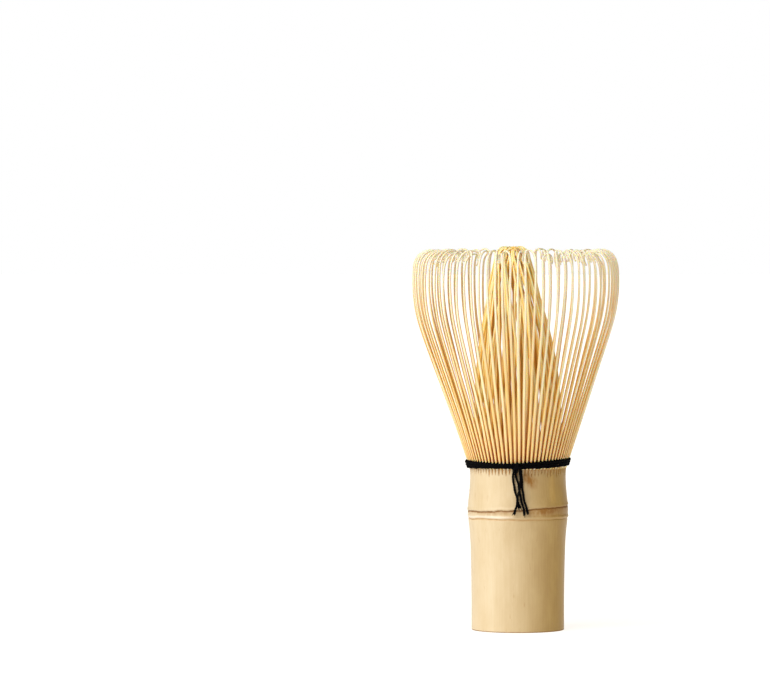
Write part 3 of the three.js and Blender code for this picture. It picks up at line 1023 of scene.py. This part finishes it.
def handle_bamboo():
    """The culm's skin: fine upright fibres, cloudy patches, brown at the node, raw cut ends;
    painted shade on its right side, under the scar, in the slits and at the foot's edge, and a
    painted highlight on the node's ridge.
    """
    n = Nodes("handle_bamboo")
    place = n.node("ShaderNodeTexCoord").outputs["Object"]
    fibres = n.noise(n.scaled(place, (2600, 2600, 60)), detail=4.0, roughness=0.62)
    streaks = n.noise(n.scaled(place, (620, 620, 14)), detail=3.0)
    clouds = n.noise(n.scaled(place, (160, 160, 80)), detail=4.0, roughness=0.6)
    shade = n.weighted((fibres, 0.3), (streaks, 0.15), (clouds, 0.55))
    # Painted shade: the skin is darker and browner on its right side, away from the key light.
    plain_skin = n.ramp(shade, *zip(SKIN_STOPS, PLAIN_SKIN))
    skin = n.mix(n.attribute("aged"), plain_skin, n.ramp(shade, *zip(SKIN_STOPS, SHADED_SKIN)))
    # Short dark flecks along the fibres
    flecks = n.noise(n.scaled(place, (1500, 1500, 320)), detail=2.0, roughness=0.4)
    fleck = n.math("MULTIPLY", n.math("SUBTRACT", flecks, 0.68, clamp=True), 4.0, clamp=True)
    skin = n.mix(fleck, skin, FLECK_BROWN)
    # The scar is brown and ragged; the ring is fainter, and the ridge above it has a painted pale
    # highlight on one side, where it is also shinier.
    ridge_highlight = n.attribute("ridge")
    skin = n.mix(n.math("MULTIPLY", ridge_highlight, 0.75), skin, HIGHLIGHT_PALE)
    breaks = n.noise(n.scaled(place, (900, 900, 900)), detail=3.0)
    ragged_scar = n.math("ADD", breaks, 0.45)
    ragged_ring = n.math("ADD", breaks, 0.25)
    # The scar's mark also carries painted shade along the foot's bottom edge.
    scar_and_foot_shade = n.math("MULTIPLY", n.attribute("scar"), ragged_scar, clamp=True)
    ring_line = n.math("MULTIPLY", n.attribute("ring"), ragged_ring, clamp=True)
    skin = n.mix(scar_and_foot_shade, skin, SCAR_BROWN)
    skin = n.mix(ring_line, skin, RING_BROWN)
    # Painted shade in the slits between the tines' roots
    skin = n.mix(n.math("MULTIPLY", n.attribute("slit"), 0.85), skin, SLIT_SHADE_BROWN)
    # Stains, with painted shade under the scar and on the node's band towards the right
    blots = n.noise(n.scaled(place, (1100, 1100, 420)), detail=4.0, roughness=0.65)
    mottle = n.math("ADD", n.math("MULTIPLY", n.span(blots, 0.36, 0.66), 0.75), 0.25)
    stain_and_shade_blot = n.math("MULTIPLY", n.attribute("stain_and_shade"), mottle, clamp=True)
    skin = n.mix(stain_and_shade_blot, skin, STAIN_AND_SHADE_BROWN)
    # Cut and pared surfaces are raw and duller.
    cut = n.attribute("cut")
    colour = n.mix(cut, skin, n.ramp(fibres, (0.3, RAW_DARK), (0.7, RAW_LIGHT)))
    n.bump(n.math("ADD", fibres, n.math("MULTIPLY", streaks, 0.6)), 0.18, 0.00008)
    rough = n.math("ADD", n.weighted((cut, 0.25), (clouds, 0.3), (scar_and_foot_shade, 0.35)), 0.26)
    rough = n.math("SUBTRACT", rough, n.math("MULTIPLY", ridge_highlight, 0.2))
    return n.finish(colour, rough, Specular_IOR_Level=0.4)


THREAD_DARK = (0.0006, 0.0006, 0.0008)
THREAD_WORN = (0.0035, 0.0035, 0.0045)


def black_thread():
    """Black cotton: fibres across the lobes of the twist, with a faint bloom."""
    n = Nodes("black_thread")
    place = n.node("ShaderNodeTexCoord").outputs["Object"]
    fibres = n.noise(n.scaled(place, (9000, 9000, 9000)), detail=3.0)
    worn = n.math("MULTIPLY", fibres, n.attribute("lobe"), clamp=True)
    colour = n.ramp(worn, (0.2, THREAD_DARK), (0.9, THREAD_WORN))
    n.bump(fibres, 0.5, 0.00006)
    return n.finish(colour, 0.85, Specular_IOR_Level=0.05)


# ---------------------------------------------------------------------------------------------
# Assembly

BAND_STEP = 0.62  # from one round of the band to the next


def place_piece(piece, material, slot, *replaced, body="handle"):
    piece.data.materials.append(material)
    if replaced:
        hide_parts(*replaced)
    if body == "handle":
        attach(piece, "handle")
    else:
        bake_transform(piece)


# The flank, deep and root colours, and in part the inside ones, are painted shade between the
# tines.
outer_material = tine_bamboo(
    "outer_bamboo",
    light=(0.86, 0.79, 0.54), mid=(0.80, 0.655, 0.345), dark=(0.74, 0.49, 0.16),
    inside=(0.80, 0.50, 0.13), flank_shade=(0.62, 0.32, 0.05), tip=(0.76, 0.725, 0.56),
    tip_inside=(0.76, 0.725, 0.56), root=(0.82, 0.57, 0.235), deep_shade=(0.48, 0.15, 0.01),
    flank_fade=0.8,
)
inner_material = tine_bamboo(
    "inner_bamboo",
    light=(0.92, 0.78, 0.42), mid=(0.91, 0.66, 0.25), dark=(0.87, 0.51, 0.12),
    inside=(0.95, 0.60, 0.12), flank_shade=(0.95, 0.53, 0.075), tip=(0.90, 0.75, 0.40),
    tip_inside=(0.90, 0.66, 0.27), root=(0.56, 0.14, 0.006), deep_shade=(0.50, 0.12, 0.005),
    flank_fade=0.15,
)
thread_material = black_thread()

place_piece(handle_mesh(), handle_bamboo(), "bamboo_handle", "handle_culm")
for segment in range(SEGMENTS):
    number = f"{segment + 1:02d}"
    place_piece(outer_set(segment), outer_material, "bamboo_outer", f"outer_tines_{number}",
                body=f"outer_set_{number}")
    place_piece(inner_set(segment), inner_material, "bamboo_inner", f"inner_tines_{number}",
                body=f"inner_set_{number}")


def place_thread(piece, *replaced):
    place_piece(piece, thread_material, "thread", *replaced)


place_thread(band_round("thread_band_low", rise=-BAND_STEP, seed=1), "thread_lower_round")
place_thread(band_round("thread_band_middle", rise=0, seed=2))
place_thread(band_round("thread_band_high", rise=BAND_STEP, seed=3), "thread_upper_round")
place_thread(weave("thread_weave_high", rise=0.85, poke=0.55))
place_thread(weave("thread_weave_low", rise=-0.72, poke=-0.1))
place_thread(inner_weave(), "thread_inner_round")
place_thread(knot(), "thread_knot")
for index in range(len(TAILS)):
    place_thread(tail(index), f"thread_tail_{index + 1}")


# ---------------------------------------------------------------------------------------------
# Floor, light and camera

FLOOR_REACH = 8  # metres
FLOOR_COLOUR = (0.3, 0.29, 0.275, 1)
FLOOR_GLOW = (1, 0.97, 0.92, 1)
WHITE = (1, 1, 1, 1)
AMBIENT = 0.25
SENSOR_WIDTH = 36
LENS = 237
CAMERA_TARGET = (-0.03806, 0, 0.08008)
CAMERA_Y = -1.45
CAMERA_Z = 0.12


def make_floor():
    """A plain pale floor, which glows so that it's near white like the background."""
    mesh = bpy.data.meshes.new("floor")
    low, high = -FLOOR_REACH, FLOOR_REACH
    corners = [(low, low, 0), (high, low, 0), (high, high, 0), (low, high, 0)]
    mesh.from_pydata(corners, [], [(0, 1, 2, 3)])
    floor = bpy.data.objects.new("floor", mesh)
    bpy.context.scene.collection.objects.link(floor)
    pale = Nodes("floor").finish(FLOOR_COLOUR, 0.9, Specular_IOR_Level=0.1,
                                 Emission_Color=FLOOR_GLOW, Emission_Strength=0.86)
    floor.data.materials.append(pale)


def aim(thing, at):
    thing.rotation_euler = (Vector(at) - thing.location).to_track_quat("-Z", "Y").to_euler()


def make_world():
    """White behind the object, and a dim even light from all round."""
    world = bpy.data.worlds.new("studio")
    world.use_nodes = True
    nodes, links = world.node_tree.nodes, world.node_tree.links
    dim = nodes["Background"]
    dim.inputs["Color"].default_value = WHITE
    dim.inputs["Strength"].default_value = AMBIENT
    white = nodes.new("ShaderNodeBackground")
    white.inputs["Color"].default_value = WHITE
    seen = nodes.new("ShaderNodeLightPath")
    either = nodes.new("ShaderNodeMixShader")
    links.new(seen.outputs["Is Camera Ray"], either.inputs[0])
    links.new(dim.outputs[0], either.inputs[1])
    links.new(white.outputs[0], either.inputs[2])
    links.new(either.outputs[0], nodes["World Output"].inputs["Surface"])
    bpy.context.scene.world = world


def make_sun(name, strength, spread, azimuth, elevation):
    """A soft light from a compass direction, in degrees, where -90 is the camera's side."""
    light = bpy.data.lights.new(name, "SUN")
    light.energy = strength
    light.angle = math.radians(spread)
    lamp = bpy.data.objects.new(name, light)
    turn, rise = math.radians(azimuth), math.radians(elevation)
    level = math.cos(rise)
    lamp.location = (math.cos(turn) * level, math.sin(turn) * level, math.sin(rise))
    aim(lamp, (0, 0, 0))
    bpy.context.scene.collection.objects.link(lamp)


def make_camera():
    """From the front, a little above the tines' tips, with the whisk right of the middle."""
    camera = bpy.data.cameras.new("camera")
    camera.sensor_width = SENSOR_WIDTH
    camera.lens = LENS
    view = bpy.data.objects.new("camera", camera)
    view.location = (CAMERA_TARGET[0], CAMERA_Y, CAMERA_Z)
    aim(view, CAMERA_TARGET)
    bpy.context.scene.collection.objects.link(view)
    bpy.context.scene.camera = view


make_floor()
make_world()
make_sun("key", strength=3.5, spread=62, azimuth=-138, elevation=38)
make_sun("fill", strength=0.68, spread=80, azimuth=75, elevation=40)
make_camera()

scene = bpy.context.scene
scene.view_settings.view_transform = "Standard"
scene.view_settings.look = "None"
